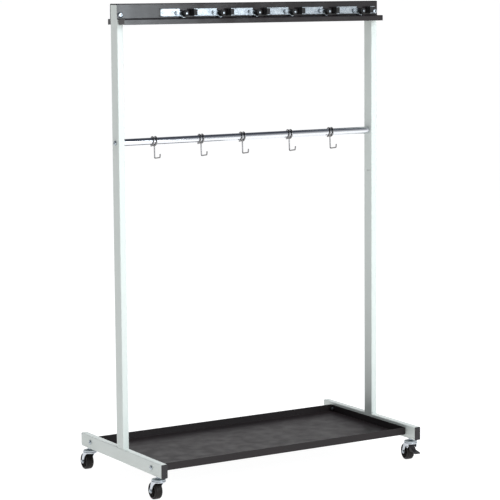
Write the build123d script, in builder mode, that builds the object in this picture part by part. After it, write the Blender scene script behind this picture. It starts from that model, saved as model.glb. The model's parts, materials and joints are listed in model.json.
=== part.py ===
from build123d import *
import os
from math import cos, pi, radians, sin

# A wheeled rack for mops and brooms. Two feet on casters carry two posts. A folded
# sheet rail caps the posts and holds six handle grips, a round bar with sliding
# wire hooks joins the posts lower down, and a drip tray lies between the feet.
# X runs along the rail, Y points to the rear, Z is up. The origin is on the floor,
# under the middle of the rack. All sizes are in millimetres.

# --- driving sizes -----------------------------------------------------------
WIDTH = 900.0            # over the outer faces of the feet and posts
DEPTH = 500.0            # length of a foot over its end caps
HEIGHT = 1400.0          # floor to the top of the rail
RIDE = 70.0              # floor to the underside of the feet

TUBE_W = 20.0            # narrow side of the rectangular tube, along X
TUBE_H = 40.0            # wide side: upright in a foot, along Y in a post
TUBE_WALL = 1.5
TUBE_CORNER = 2.5        # outer corner radius of the tube

SHEET = 1.5              # sheet of the rail, the tray and the grip brackets
BEND = 2.0               # inner radius of a fold in the sheet
CAP = 1.2                # visible thickness of a foot's end cap

BAR_Z = 1002.0           # height of the hanging bar's axis
BAR_R = 11.0
BAR_WALL = 1.5

LEDGE_TOP = 1356.5       # top face of the rail's ledges
LEDGE_H = 16.5           # height of the lip at the edge of a ledge
LEDGE_FRONT = 58.0       # rail axis to the front lip
LEDGE_REAR = 43.0        # rail axis to the rear lip
LEDGE_INSET = 4.0        # end of a ledge, inside the end of the rail

GRIP_COUNT = 6
GRIP_PITCH = 124.0       # from one roller to the next
FIRST_ROLLER_X = -235.5
ROLLER_Z = 1370.0
ROLLER_R = 9.0

HOOK_XS = (-317.0, -160.0, -17.5, 148.5, 297.0)    # where each hook's stem leaves its coil
WIRE_R = 2.0
COIL_GAP = 0.3           # between a hook's coil and the bar
COIL_PITCH = 10.0
COIL_TURNS = 1.75        # from under the bar to its rear

CASTER_Y = 214.0         # swivel axis, from the middle of the foot
WHEEL_R = 25.0
WHEEL_HALF = 11.5        # half the width of a wheel
TRAIL = 20.0             # swivel axis to wheel axle

# --- sizes that follow -------------------------------------------------------
FOOT_X = WIDTH / 2 - TUBE_W / 2
FOOT_TOP = RIDE + TUBE_H
FOOT_Z = RIDE + TUBE_H / 2
POST_TOP = HEIGHT - SHEET - BEND     # clear of the fold in the rail
POST_HALF = TUBE_H / 2
PANEL_FACE = POST_HALF + SHEET       # front of the rail's panel, from the axis
TUBE_LENGTH = DEPTH - 2 * CAP
BOLT_SLACK = 0.2                     # radial room of a bolt in its hole
RUN = 0.05                           # radial clearance of a running fit

# name: side in X, side in Y, heading in degrees, has a brake
CASTERS = {
    "front_left": (-1, -1, 0.0, False),
    "front_right": (1, -1, 7.5, True),
    "rear_left": (-1, 1, 0.0, False),
    "rear_right": (1, 1, 0.0, True),
}


def save(name, part):
    """Label a finished piece and write its STEP file."""
    part.label = name
    export_step(part, f"parts/{name}.step")


# --- frame -------------------------------------------------------------------
TRAY_BOLT_YS = (-190.0, 190.0)
TRAY_BOLT_Z = 91.0
TRAY_BOLT_R = 3.0
STEM_R = 4.0


def foot_tube(name, side):
    """Hollow foot with holes for two caster stems and two tray bolts."""
    with BuildPart() as foot:
        with BuildSketch(Plane.XZ):
            with Locations((side * FOOT_X, FOOT_Z)):
                RectangleRounded(TUBE_W, TUBE_H, TUBE_CORNER)
                RectangleRounded(TUBE_W - 2 * TUBE_WALL, TUBE_H - 2 * TUBE_WALL,
                                 TUBE_CORNER - TUBE_WALL, mode=Mode.SUBTRACT)
        extrude(amount=TUBE_LENGTH / 2, both=True)
        with BuildSketch(Plane.XY.offset(RIDE)):
            with Locations((side * FOOT_X, -CASTER_Y), (side * FOOT_X, CASTER_Y)):
                Circle(STEM_R + BOLT_SLACK)
        extrude(amount=2 * TUBE_WALL, both=True, mode=Mode.SUBTRACT)
        with BuildSketch(Plane.YZ.offset(side * FOOT_X)):
            with Locations(*[(y, TRAY_BOLT_Z) for y in TRAY_BOLT_YS]):
                Circle(TRAY_BOLT_R + BOLT_SLACK)
        extrude(amount=TUBE_W, both=True, mode=Mode.SUBTRACT)
    save(name, foot.part)


RAIL_BOLT_R = 4.0
RAIL_BOLT_Z = 1368.0
BAR_BOLT_R = 4.0
VENT_HOLE_Z = 877.0      # small hole in the inner wall of a post
VENT_HOLE_R = 2.5


def post(name, side):
    """Hollow post, welded on its foot, drilled for the bar and for the rail."""
    with BuildPart() as tube:
        with BuildSketch(Plane.XY.offset(FOOT_TOP)):
            with Locations((side * FOOT_X, 0)):
                RectangleRounded(TUBE_W, TUBE_H, TUBE_CORNER)
                RectangleRounded(TUBE_W - 2 * TUBE_WALL, TUBE_H - 2 * TUBE_WALL,
                                 TUBE_CORNER - TUBE_WALL, mode=Mode.SUBTRACT)
        extrude(amount=POST_TOP - FOOT_TOP)
        with BuildSketch(Plane.YZ.offset(side * FOOT_X)):
            with Locations((0, BAR_Z)):
                Circle(BAR_BOLT_R + BOLT_SLACK)
        extrude(amount=TUBE_W, both=True, mode=Mode.SUBTRACT)
        with BuildSketch(Plane.XZ):
            with Locations((side * FOOT_X, RAIL_BOLT_Z)):
                Circle(RAIL_BOLT_R + BOLT_SLACK)
        extrude(amount=TUBE_H, both=True, mode=Mode.SUBTRACT)
        with BuildSketch(Plane.YZ.offset(side * (WIDTH / 2 - TUBE_W))):
            with Locations((0, VENT_HOLE_Z)):
                Circle(VENT_HOLE_R)
        extrude(amount=2 * TUBE_WALL, both=True, mode=Mode.SUBTRACT)
    save(name, tube.part)


PLUG_LENGTH = 12.0
PLUG_SLACK = 0.1         # between a cap's plug and the tube's walls


def foot_end_caps():
    """Four plastic caps: a plate over the tube's end and a plug inside it."""
    with BuildPart() as caps:
        for end in (-1, 1):
            face = Plane.XZ.offset(-end * TUBE_LENGTH / 2)
            with BuildSketch(face):
                with Locations((-FOOT_X, FOOT_Z), (FOOT_X, FOOT_Z)):
                    RectangleRounded(TUBE_W, TUBE_H, TUBE_CORNER)
            extrude(amount=-end * CAP)
            with BuildSketch(face):
                with Locations((-FOOT_X, FOOT_Z), (FOOT_X, FOOT_Z)):
                    RectangleRounded(TUBE_W - 2 * (TUBE_WALL + PLUG_SLACK),
                                     TUBE_H - 2 * (TUBE_WALL + PLUG_SLACK),
                                     TUBE_CORNER - TUBE_WALL - PLUG_SLACK)
            extrude(amount=end * PLUG_LENGTH)
        outer = caps.edges().filter_by(GeomType.LINE).group_by(Axis.Y)
        fillet(outer[0] + outer[-1], 0.5)
    save("foot_end_caps", caps.part)


# --- top rail ----------------------------------------------------------------
HANDLE_HOLE_R = 15.0
HANDLE_HOLE_Y = -39.0
HANDLE_OFFSET = 13.0     # roller axis to the middle of the handle's hole
RIVET_R = 2.0
PIVOT_ARM = 20.0         # lever pivot to roller axis
PIVOT_Z = 1371.5
PIVOT_R = 2.5
RIVET_Z = 1373.0
JAW_GAP = 25.0           # roller axis to the face of the jaw beside it
RIVET_FROM_PIVOT = 15.0
RIVET_FROM_JAW = 19.0
END_RIVET_FROM_JAW = 17.0
FIRST_RIVET_FROM_PIVOT = 47.0
FLAP_SLACK = 0.5         # round the flaps that close the ends of a ledge

ROLLER_XS = [FIRST_ROLLER_X + GRIP_PITCH * i for i in range(GRIP_COUNT)]
PIVOT_XS = [x - PIVOT_ARM for x in ROLLER_XS]
JAW_XS = [x + JAW_GAP for x in ROLLER_XS]
END_RIVET_X = JAW_XS[-1] + END_RIVET_FROM_JAW


def rivet_xs():
    """Two rivets for each bracket, and one for the last jaw."""
    places = [PIVOT_XS[0] - FIRST_RIVET_FROM_PIVOT, PIVOT_XS[0] - RIVET_FROM_PIVOT]
    for jaw_x, pivot_x in zip(JAW_XS, PIVOT_XS[1:]):
        places += [jaw_x + RIVET_FROM_JAW, pivot_x - RIVET_FROM_PIVOT]
    return places + [END_RIVET_X]


def top_rail():
    """Folded sheet: a channel over both posts with a ledge and lip on each side."""
    inner = POST_HALF
    half = SHEET / 2
    mid_panel = inner + half
    mid_ledge = LEDGE_TOP - half
    lip_foot = LEDGE_TOP - LEDGE_H
    section = [
        (-LEDGE_FRONT + half, lip_foot),
        (-LEDGE_FRONT + half, mid_ledge),
        (-mid_panel, mid_ledge),
        (-mid_panel, HEIGHT - half),
        (mid_panel, HEIGHT - half),
        (mid_panel, mid_ledge),
        (LEDGE_REAR - half, mid_ledge),
        (LEDGE_REAR - half, lip_foot),
    ]
    with BuildPart() as rail:
        with BuildSketch(Plane.YZ):
            with BuildLine() as fold:
                FilletPolyline(*section, radius=BEND + half)
            trace(fold.line, line_width=SHEET)
        extrude(amount=WIDTH / 2, both=True)
        # the ledges stop short of the ends of the rail
        cut_start = PANEL_FACE + 1.0
        with BuildSketch(Plane.XY.offset(lip_foot - 1.0)):
            for side in (-1, 1):
                for edge in (-1, 1):
                    with Locations((side * (WIDTH / 2), edge * (cut_start + LEDGE_FRONT / 2))):
                        Rectangle(2 * LEDGE_INSET, LEDGE_FRONT)
        extrude(amount=LEDGE_H + SHEET, mode=Mode.SUBTRACT)
        # folded flaps close the ends of each ledge
        for side in (-1, 1):
            flap = Plane.YZ.offset(side * (WIDTH / 2 - LEDGE_INSET))
            with BuildSketch(flap):
                for edge, reach in ((-1, LEDGE_FRONT), (1, LEDGE_REAR)):
                    middle = edge * (reach + PANEL_FACE) / 2
                    with Locations((middle, LEDGE_TOP - LEDGE_H / 2)):
                        Rectangle(reach - PANEL_FACE - 2 * FLAP_SLACK, LEDGE_H - 2 * FLAP_SLACK)
            extrude(amount=-side * SHEET)
        # a hole in the front ledge lets each handle up between roller and jaw
        with BuildSketch(Plane.XY.offset(LEDGE_TOP - SHEET)):
            with Locations(*[(x + HANDLE_OFFSET, HANDLE_HOLE_Y) for x in ROLLER_XS]):
                Circle(HANDLE_HOLE_R)
        extrude(amount=2 * SHEET, both=True, mode=Mode.SUBTRACT)
        with BuildSketch(Plane.XZ):
            with Locations((-FOOT_X, RAIL_BOLT_Z), (FOOT_X, RAIL_BOLT_Z)):
                Circle(RAIL_BOLT_R + BOLT_SLACK)
        extrude(amount=LEDGE_FRONT, both=True, mode=Mode.SUBTRACT)
        with BuildSketch(Plane.XZ.offset(POST_HALF - SHEET)):
            with Locations(*[(x, RIVET_Z) for x in rivet_xs()]):
                Circle(RIVET_R + RUN)
            with Locations(*[(x, PIVOT_Z) for x in PIVOT_XS]):
                Circle(PIVOT_R + RUN)
        extrude(amount=3 * SHEET, mode=Mode.SUBTRACT)
    save("top_rail", rail.part)


M8_NUT = (6.5, 6.5)      # half across flats, height
M8_HEAD = (8.0, 5.0, 4.0)     # radius, height, rounding of the dome
M8_SOCKET = (2.5, 2.5)   # half across flats, depth
RAIL_BOLT_TAIL = 9.0     # past the rear panel


def rail_bolts():
    """Domed bolts through the rail and the posts, from the front."""
    radius, height, dome = M8_HEAD
    spots = [(-FOOT_X, RAIL_BOLT_Z), (FOOT_X, RAIL_BOLT_Z)]
    with BuildPart() as bolts:
        with BuildSketch(Plane.XZ.offset(PANEL_FACE)):
            with Locations(*spots):
                Circle(radius)
        extrude(amount=height)
        fillet(bolts.faces().filter_by(Axis.Y).group_by(Axis.Y)[0].edges(), dome)
        with BuildSketch(Plane.XZ.offset(PANEL_FACE + height)):
            with Locations(*spots):
                RegularPolygon(M8_SOCKET[0], 6, major_radius=False)
        extrude(amount=-M8_SOCKET[1], mode=Mode.SUBTRACT)
        with BuildSketch(Plane.XZ.offset(PANEL_FACE)):
            with Locations(*spots):
                Circle(RAIL_BOLT_R)
        extrude(amount=-(2 * PANEL_FACE + RAIL_BOLT_TAIL))
    save("rail_bolts", bolts.part)


def rail_nuts():
    """Hex nuts behind the rail."""
    flats, height = M8_NUT
    with BuildPart() as nuts:
        with BuildSketch(Plane.XZ.offset(-PANEL_FACE)):
            with Locations((-FOOT_X, RAIL_BOLT_Z), (FOOT_X, RAIL_BOLT_Z)):
                RegularPolygon(flats, 6, major_radius=False)
                Circle(RAIL_BOLT_R + RUN, mode=Mode.SUBTRACT)
        extrude(amount=-height)
        for face in nuts.faces().filter_by(Axis.Y).group_by(Axis.Y)[-1]:
            chamfer(face.outer_wire().edges(), 0.6)
    save("rail_nuts", nuts.part)


# --- hanging bar and hooks ---------------------------------------------------
BAR_HALF = WIDTH / 2 - TUBE_W
BAR_PLUG = 22.0          # length of the plug in each end of the bar
BAR_HEAD = (7.0, 4.5, 3.0)    # radius, height, rounding of the dome


def hanging_bar():
    """Chromed round tube between the posts."""
    with BuildPart() as bar:
        with BuildSketch(Plane.YZ):
            with Locations((0, BAR_Z)):
                Circle(BAR_R)
                Circle(BAR_R - BAR_WALL, mode=Mode.SUBTRACT)
        extrude(amount=BAR_HALF, both=True)
    save("hanging_bar", bar.part)


def bar_end_plugs():
    """Threaded plugs pressed into the ends of the bar."""
    with BuildPart() as plugs:
        for side in (-1, 1):
            with BuildSketch(Plane.YZ.offset(side * BAR_HALF)):
                with Locations((0, BAR_Z)):
                    Circle(BAR_R - BAR_WALL)
                    Circle(BAR_BOLT_R, mode=Mode.SUBTRACT)
            extrude(amount=-side * BAR_PLUG)
    save("bar_end_plugs", plugs.part)


def bar_bolts():
    """Button-head bolts through the posts into the bar's plugs."""
    radius, height, dome = BAR_HEAD
    with BuildPart() as bolts:
        for side in (-1, 1):
            with BuildSketch(Plane.YZ.offset(side * WIDTH / 2)):
                with Locations((0, BAR_Z)):
                    Circle(radius)
            extrude(amount=side * height)
            rim = bolts.faces().filter_by(Axis.X).sort_by(Axis.X)[0 if side < 0 else -1]
            fillet(rim.edges(), dome)
            with BuildSketch(Plane.YZ.offset(side * (WIDTH / 2 + height))):
                with Locations((0, BAR_Z)):
                    RegularPolygon(M8_SOCKET[0], 6, major_radius=False)
            extrude(amount=-side * M8_SOCKET[1], mode=Mode.SUBTRACT)
            with BuildSketch(Plane.YZ.offset(side * WIDTH / 2)):
                with Locations((0, BAR_Z)):
                    Circle(BAR_BOLT_R)
            extrude(amount=-side * (TUBE_W + BAR_PLUG - 4))
    save("bar_bolts", bolts.part)


STEM_BOTTOM = -51.0      # heel of the hook, under the bar's axis
HEEL_Y = 11.5
FOOT_END = -20.0
FOOT_RISE = 4.5          # from the heel of the hook to the bend before its tip
TIP_RISE = 9.0
TIP_LEAN = 1.5
COIL_EXIT = 9.0          # straight run down from the coil
WIRE_BEND = 3.0


def wire_hook(index, x):
    """One wire: turns round the bar, a stem behind it, a foot to the front."""
    coil_r = BAR_R + COIL_GAP + WIRE_R
    length = COIL_PITCH * COIL_TURNS
    slope = COIL_PITCH / (2 * pi * coil_r)
    start = Plane(origin=(x - length, 0, BAR_Z), x_dir=(0, 0, -1), z_dir=(1, 0, 0))
    stem_x = x + slope * COIL_EXIT
    heel = BAR_Z + STEM_BOTTOM
    stem = [
        (x, coil_r, BAR_Z),
        (stem_x, coil_r, BAR_Z - COIL_EXIT),
        (stem_x, HEEL_Y, heel),
        (stem_x, FOOT_END, heel + FOOT_RISE),
        (stem_x, FOOT_END - TIP_LEAN, heel + FOOT_RISE + TIP_RISE),
    ]
    with BuildPart() as hook:
        with BuildLine() as path:
            coil = Edge.make_helix(COIL_PITCH, length, coil_r, lefthand=True)
            add(start.from_local_coords(coil))
            FilletPolyline(*stem, radius=WIRE_BEND)
        wire = path.wires()[0]
        with BuildSketch(Plane(origin=wire @ 0, z_dir=wire % 0)):
            Circle(WIRE_R)
        sweep(path=wire)
    save(f"hook_{index}", hook.part)


# --- handle grips ------------------------------------------------------------
BRACKET_LOW = 1362.5
BRACKET_HIGH = 1383.5
FLANGE = 12.0            # depth of the bracket's flanges in front of the panel
JAW_DEPTH = 21.5         # depth of the flanges round a jaw's pad
JAW_WIDTH = 13.0
PAD_WIDTH = 12.0
PAD_START = 1.0          # a bracket starts this far behind the face of its pad
TONGUE = 2.4             # thickness of the stop tongue
TONGUE_DIP = 15.0        # lowest point and end of the tongue, from the pivot
TONGUE_END = 21.0
HANDLE_R = 16.0          # hollow of the pads
FIRST_BRACKET = 54.0     # left end of the first bracket, from its pivot
PAST_PIVOT = 9.0         # right end of each bracket, from its pivot
END_BRACKET = 20.0       # length of the last bracket


def flange_outline(left, right, has_jaw):
    """Points of a flange seen from above, from the panel's face forwards."""
    front = -PANEL_FACE
    if not has_jaw:
        return [(left, front), (right, front), (right, front - FLANGE), (left, front - FLANGE)]
    step = left + JAW_WIDTH
    return [
        (left, front),
        (right, front),
        (right, front - FLANGE),
        (step + JAW_DEPTH - FLANGE, front - FLANGE),
        (step, front - JAW_DEPTH),
        (left, front - JAW_DEPTH),
    ]


def grip_bracket(name, left, right, pivot_x, rivets, has_jaw):
    """Folded bracket on the panel: a back plate, two flanges and a stop tongue."""
    middle = (BRACKET_LOW + BRACKET_HIGH) / 2
    upper_right = right if pivot_x is None else pivot_x - 5.0
    with BuildPart() as bracket:
        with BuildSketch(Plane.XZ.offset(PANEL_FACE)):
            with Locations(((left + right) / 2, middle)):
                Rectangle(right - left, BRACKET_HIGH - BRACKET_LOW)
        extrude(amount=SHEET)
        for low, end in ((BRACKET_LOW, right), (BRACKET_HIGH - SHEET, upper_right)):
            with BuildSketch(Plane.XY.offset(low)):
                with BuildLine():
                    Polyline(*flange_outline(left, end, has_jaw), close=True)
                make_face()
            extrude(amount=SHEET)
        if pivot_x is not None:
            # the tongue dips under the roller and stops it
            floor = LEDGE_TOP + 0.6
            dip, end = pivot_x + TONGUE_DIP, pivot_x + TONGUE_END
            with BuildSketch(Plane.XZ.offset(PANEL_FACE + 2.0)):
                with BuildLine():
                    Polyline(
                        (right - 1.0, BRACKET_LOW),
                        (dip, floor),
                        (end, floor + 1.4),
                        (end, floor + 1.4 + TONGUE / 2),
                        (dip, floor + TONGUE / 2),
                        (right - 1.0, BRACKET_LOW + SHEET),
                        close=True,
                    )
                make_face()
            extrude(amount=FLANGE - 2.0)
        holes = [(x, RIVET_Z, RIVET_R) for x in rivets]
        if pivot_x is not None:
            holes.append((pivot_x, PIVOT_Z, PIVOT_R))
        for x, z, radius in holes:
            with BuildSketch(Plane.XZ.offset(PANEL_FACE - 1)):
                with Locations((x, z)):
                    Circle(radius + RUN)
            extrude(amount=SHEET + 2, mode=Mode.SUBTRACT)
    save(name, bracket.part)


def grip_brackets():
    """Six brackets; all but the first carry the jaw of the grip before them."""
    all_rivets = rivet_xs()
    lefts = [PIVOT_XS[0] - FIRST_BRACKET] + [x + PAD_START for x in JAW_XS]
    for i, pivot_x in enumerate(PIVOT_XS):
        pair = all_rivets[2 * i:2 * i + 2]
        name = f"grip_bracket_{i + 1}"
        grip_bracket(name, lefts[i], pivot_x + PAST_PIVOT, pivot_x, pair, i > 0)
    last = lefts[-1]
    grip_bracket("end_jaw_bracket", last, last + END_BRACKET, None, [END_RIVET_X], True)


def jaw_pads():
    """Rubber pads with a hollow face for the handle."""
    low = BRACKET_LOW + SHEET
    high = BRACKET_HIGH - SHEET
    front = -PANEL_FACE - JAW_DEPTH
    back = -PANEL_FACE - SHEET
    with BuildPart() as pads:
        with BuildSketch(Plane.XY.offset(low)):
            for x in JAW_XS:
                with Locations((x + PAD_WIDTH / 2, (front + back) / 2)):
                    Rectangle(PAD_WIDTH, back - front)
                with Locations((x + 2.0 - HANDLE_R, HANDLE_HOLE_Y + 3.0)):
                    Circle(HANDLE_R, mode=Mode.SUBTRACT)
        extrude(amount=high - low)
    save("jaw_pads", pads.part)


RIVET_HEAD = (3.5, 1.6, 1.2)      # radius, height, rounding of the dome
RIVET_TAIL = (3.0, 1.2)           # radius and height behind the panel


def bracket_rivets():
    """Domed rivets through the brackets and the panel."""
    face = PANEL_FACE + SHEET
    radius, height, dome = RIVET_HEAD
    with BuildPart() as rivets:
        spots = [(x, RIVET_Z) for x in rivet_xs()]
        with BuildSketch(Plane.XZ.offset(face)):
            with Locations(*spots):
                Circle(radius)
        extrude(amount=height)
        fillet(rivets.faces().filter_by(Axis.Y).group_by(Axis.Y)[0].edges(), dome)
        with BuildSketch(Plane.XZ.offset(face)):
            with Locations(*spots):
                Circle(RIVET_R)
        extrude(amount=-(2 * SHEET))
        with BuildSketch(Plane.XZ.offset(POST_HALF)):
            with Locations(*spots):
                Circle(RIVET_TAIL[0])
        extrude(amount=-RIVET_TAIL[1])
    save("bracket_rivets", rivets.part)


LEVER_BACK = PANEL_FACE + SHEET + 1.5    # distances in front of the rail's axis
LEVER_THICK = 3.0
LEVER_FRONT = LEVER_BACK + LEVER_THICK
ROLLER_BACK = LEVER_FRONT + 1.0
ROLLER_LENGTH = 15.0
PIN_R = 2.5
PIN_HEAD = (3.3, 1.4, 0.7)        # radius, height, rounding of the dome
LEVER_ENDS = (7.0, 5.0)           # radius at the pivot and at the roller
SIDE_GAP = 0.2                    # on each side of a lever, on its pivot
SHOULDER_R = 4.5
HEEL_DROP = 7.3                   # pivot down to the foot of the lever's heel
PIVOT_HEAD = (4.8, 2.0, 0.8)      # radius, height, rounding of the dome


def lever_pivots():
    """Shoulder rivets that the grip levers swing on."""
    with BuildPart() as pivots:
        for x in PIVOT_XS:
            for start, end, radius in (
                (POST_HALF - 2.0, POST_HALF, SHOULDER_R),
                (POST_HALF, PANEL_FACE + SHEET, PIVOT_R),
                (PANEL_FACE + SHEET, LEVER_BACK - SIDE_GAP, SHOULDER_R),
                (LEVER_BACK - SIDE_GAP, LEVER_FRONT + SIDE_GAP, PIVOT_R),
                (LEVER_FRONT + SIDE_GAP, LEVER_FRONT + SIDE_GAP + PIVOT_HEAD[1], PIVOT_HEAD[0]),
            ):
                with BuildSketch(Plane.XZ.offset(start)):
                    with Locations((x, PIVOT_Z)):
                        Circle(radius)
                extrude(amount=end - start)
        fillet(pivots.faces().filter_by(Axis.Y).group_by(Axis.Y)[0].edges(), PIVOT_HEAD[2])
    save("lever_pivots", pivots.part)


def grip_lever(index, pivot_x):
    """Swinging arm with the roller's pin riveted in it."""
    roller_x = pivot_x + PIVOT_ARM
    with BuildPart() as lever:
        with BuildSketch(Plane.XZ.offset(LEVER_BACK)):
            with Locations((pivot_x, PIVOT_Z)):
                Circle(LEVER_ENDS[0])
            with Locations((roller_x, ROLLER_Z)):
                Circle(LEVER_ENDS[1])
            make_hull()
            # a square heel under the pivot meets the bracket's flange at rest
            with Locations((pivot_x + LEVER_ENDS[0] / 2, PIVOT_Z - HEEL_DROP / 2)):
                Rectangle(LEVER_ENDS[0], HEEL_DROP)
            with Locations((pivot_x, PIVOT_Z)):
                Circle(PIVOT_R + RUN, mode=Mode.SUBTRACT)
        extrude(amount=LEVER_THICK)
        pin_end = ROLLER_BACK + ROLLER_LENGTH + 1.0
        with BuildSketch(Plane.XZ.offset(LEVER_FRONT)):
            with Locations((roller_x, ROLLER_Z)):
                Circle(PIN_R)
        extrude(amount=pin_end - LEVER_FRONT)
        with BuildSketch(Plane.XZ.offset(pin_end)):
            with Locations((roller_x, ROLLER_Z)):
                Circle(PIN_HEAD[0])
        extrude(amount=PIN_HEAD[1])
        fillet(lever.faces().sort_by(Axis.Y)[0].edges(), PIN_HEAD[2])
    save(f"grip_lever_{index}", lever.part)


def grip_roller(index, roller_x):
    """Rubber roller that wedges the handle against the jaw."""
    with BuildPart() as roller:
        with BuildSketch(Plane.XZ.offset(ROLLER_BACK)):
            with Locations((roller_x, ROLLER_Z)):
                Circle(ROLLER_R)
        extrude(amount=ROLLER_LENGTH)
        fillet(roller.edges().filter_by(GeomType.CIRCLE), 1.5)
        with BuildSketch(Plane.XZ.offset(ROLLER_BACK)):
            with Locations((roller_x, ROLLER_Z)):
                Circle(PIN_R + RUN)
        extrude(amount=ROLLER_LENGTH, mode=Mode.SUBTRACT)
    save(f"grip_roller_{index}", roller.part)


# --- drip tray ---------------------------------------------------------------
TRAY_GAP = 3.0           # between the tray's side and the foot
TRAY_HALF_Y = 205.0
TRAY_LOW = 80.0
TRAY_HIGH = 102.0
TRAY_X = WIDTH / 2 - TUBE_W - TRAY_GAP
TRAY_HEAD = (6.5, 3.8, 2.6)       # radius, height, rounding of a bolt's dome
TRAY_SOCKET = (2.0, 2.0)          # half across flats, depth
TRAY_NUT = (5.0, 5.0)             # half across flats, height
SPACER_R = 6.0


def drip_tray():
    """Shallow folded pan between the feet."""
    depth = TRAY_HIGH - TRAY_LOW
    with BuildPart() as tray:
        with BuildSketch(Plane.XY.offset(TRAY_LOW)):
            RectangleRounded(2 * TRAY_X, 2 * TRAY_HALF_Y, 2.0)
        extrude(amount=depth)
        fillet(tray.faces().sort_by(Axis.Z)[0].edges(), 1.9)
        with BuildSketch(Plane.XY.offset(TRAY_LOW + SHEET)):
            Rectangle(2 * (TRAY_X - SHEET), 2 * (TRAY_HALF_Y - SHEET))
        extrude(amount=depth, mode=Mode.SUBTRACT)
        with BuildSketch(Plane.YZ):
            with Locations(*[(y, TRAY_BOLT_Z) for y in TRAY_BOLT_YS]):
                Circle(TRAY_BOLT_R + BOLT_SLACK)
        extrude(amount=WIDTH, both=True, mode=Mode.SUBTRACT)
    save("drip_tray", tray.part)


def tray_spots():
    """Every tray bolt as its side of the rack and its place along the foot."""
    return [(side, y) for side in (-1, 1) for y in TRAY_BOLT_YS]


def tray_bolts():
    """Button-head bolts through a foot and the side of the tray."""
    radius, height, dome = TRAY_HEAD
    with BuildPart() as bolts:
        for side, y in tray_spots():
            with BuildSketch(Plane.YZ.offset(side * WIDTH / 2)):
                with Locations((y, TRAY_BOLT_Z)):
                    Circle(radius)
            extrude(amount=side * height)
        heads = bolts.faces().filter_by(Axis.X).group_by(Axis.X)
        fillet(heads[0].edges() + heads[-1].edges(), dome)
        for side, y in tray_spots():
            with BuildSketch(Plane.YZ.offset(side * (WIDTH / 2 + height))):
                with Locations((y, TRAY_BOLT_Z)):
                    RegularPolygon(TRAY_SOCKET[0], 6, major_radius=False)
            extrude(amount=-side * TRAY_SOCKET[1], mode=Mode.SUBTRACT)
            with BuildSketch(Plane.YZ.offset(side * WIDTH / 2)):
                with Locations((y, TRAY_BOLT_Z)):
                    Circle(TRAY_BOLT_R)
            extrude(amount=-side * (TUBE_W + TRAY_GAP + SHEET + TRAY_NUT[1] + 2.0))
    save("tray_bolts", bolts.part)


def tray_spacers():
    """Washers that keep the tray off the feet."""
    with BuildPart() as spacers:
        for side, y in tray_spots():
            with BuildSketch(Plane.YZ.offset(side * TRAY_X)):
                with Locations((y, TRAY_BOLT_Z)):
                    Circle(SPACER_R)
                    Circle(TRAY_BOLT_R + BOLT_SLACK, mode=Mode.SUBTRACT)
            extrude(amount=side * TRAY_GAP)
    save("tray_spacers", spacers.part)


def tray_nuts():
    """Nuts inside the tray."""
    inner = TRAY_X - SHEET
    with BuildPart() as nuts:
        for side, y in tray_spots():
            with BuildSketch(Plane.YZ.offset(side * inner)):
                with Locations((y, TRAY_BOLT_Z)):
                    RegularPolygon(TRAY_NUT[0], 6, major_radius=False)
                    Circle(TRAY_BOLT_R + RUN, mode=Mode.SUBTRACT)
            extrude(amount=-side * TRAY_NUT[1])
    save("tray_nuts", nuts.part)


# --- casters -----------------------------------------------------------------
FORK_PLATE = (54.0, 57.0)    # bottom and top of the fork's round head
RACE_R = 17.0
RACE_TOP = 59.1
RACE_GAP = 0.3               # between the fork's race and the fixed cap
CAP_HIGH = 5.6               # height of the cap above the race
STEM_NUT = (6.5, 5.0)        # half across flats, height
STEM_TOP = 13.6              # end of a stem, above the underside of the foot
RIVET_END = (7.5, 1.8)       # radius and height of a stem's riveted lower end
CHEEK_IN = 13.5              # inner face of a cheek, from the caster's middle
CHEEK_THICK = 2.0
BOSS_R = 6.5                 # round end of a cheek, at the axle
HEAD_R = 20.5
AXLE_R = 3.0
AXLE_HEAD = (4.6, 2.6)       # radius, height
AXLE_NUT = (4.5, 3.5)        # half across flats, height
PEDAL_PIVOT = (-6.0, 46.0)   # along the trail, above the floor
PEDAL_PIN_R = 2.0
PEDAL_LOBE_R = 5.0           # of a cheek, round the pedal's pin
PEDAL_HALF = 8.0             # half the width of the pedal's arm
TREAD_HALF = 9.0             # half the width of its foot plate


def caster_plane(name):
    """Floor plane under a caster: x along its trail, y along its axle."""
    side_x, side_y, heading, _ = CASTERS[name]
    turn = radians(heading)
    return Plane(origin=(side_x * FOOT_X, side_y * CASTER_Y, 0),
                 x_dir=(sin(turn), cos(turn), 0), z_dir=(0, 0, 1))


def side_plane(name, across):
    """Upright plane of a wheel: x along the trail, y up, moved along the axle."""
    floor = caster_plane(name)
    normal = floor.x_dir.cross(Vector(0, 0, 1))
    return Plane(origin=floor.origin + normal * across, x_dir=floor.x_dir, z_dir=normal)


def caster_stems():
    """Threaded stems with the fixed upper race and a riveted lower end."""
    low = FORK_PLATE[0]
    race = RACE_TOP + RACE_GAP
    rim = HEAD_R - 0.6
    rivet_r, rivet_h = RIVET_END
    profile = [
        (0, low - 0.2 - rivet_h), (rivet_r, low - 0.2 - rivet_h), (rivet_r, low - 0.2),
        (STEM_R, low - 0.2), (STEM_R, race), (RACE_R, race), (RACE_R, race - 1.0),
        (rim, race - 1.0), (rim, race + 2.6), (RACE_R - 2.0, race + 4.2),
        (2 * STEM_R, race + CAP_HIGH), (STEM_R, race + CAP_HIGH),
        (STEM_R, RIDE + STEM_TOP - 1.0), (STEM_R - 1.0, RIDE + STEM_TOP), (0, RIDE + STEM_TOP),
    ]
    with BuildPart() as stems:
        for name in CASTERS:
            floor = caster_plane(name)
            with BuildSketch(Plane(origin=floor.origin, x_dir=(1, 0, 0), z_dir=(0, -1, 0))):
                with BuildLine():
                    Polyline(*profile, close=True)
                make_face()
            revolve(axis=Axis(floor.origin, (0, 0, 1)))
    save("caster_stems", stems.part)


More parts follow.
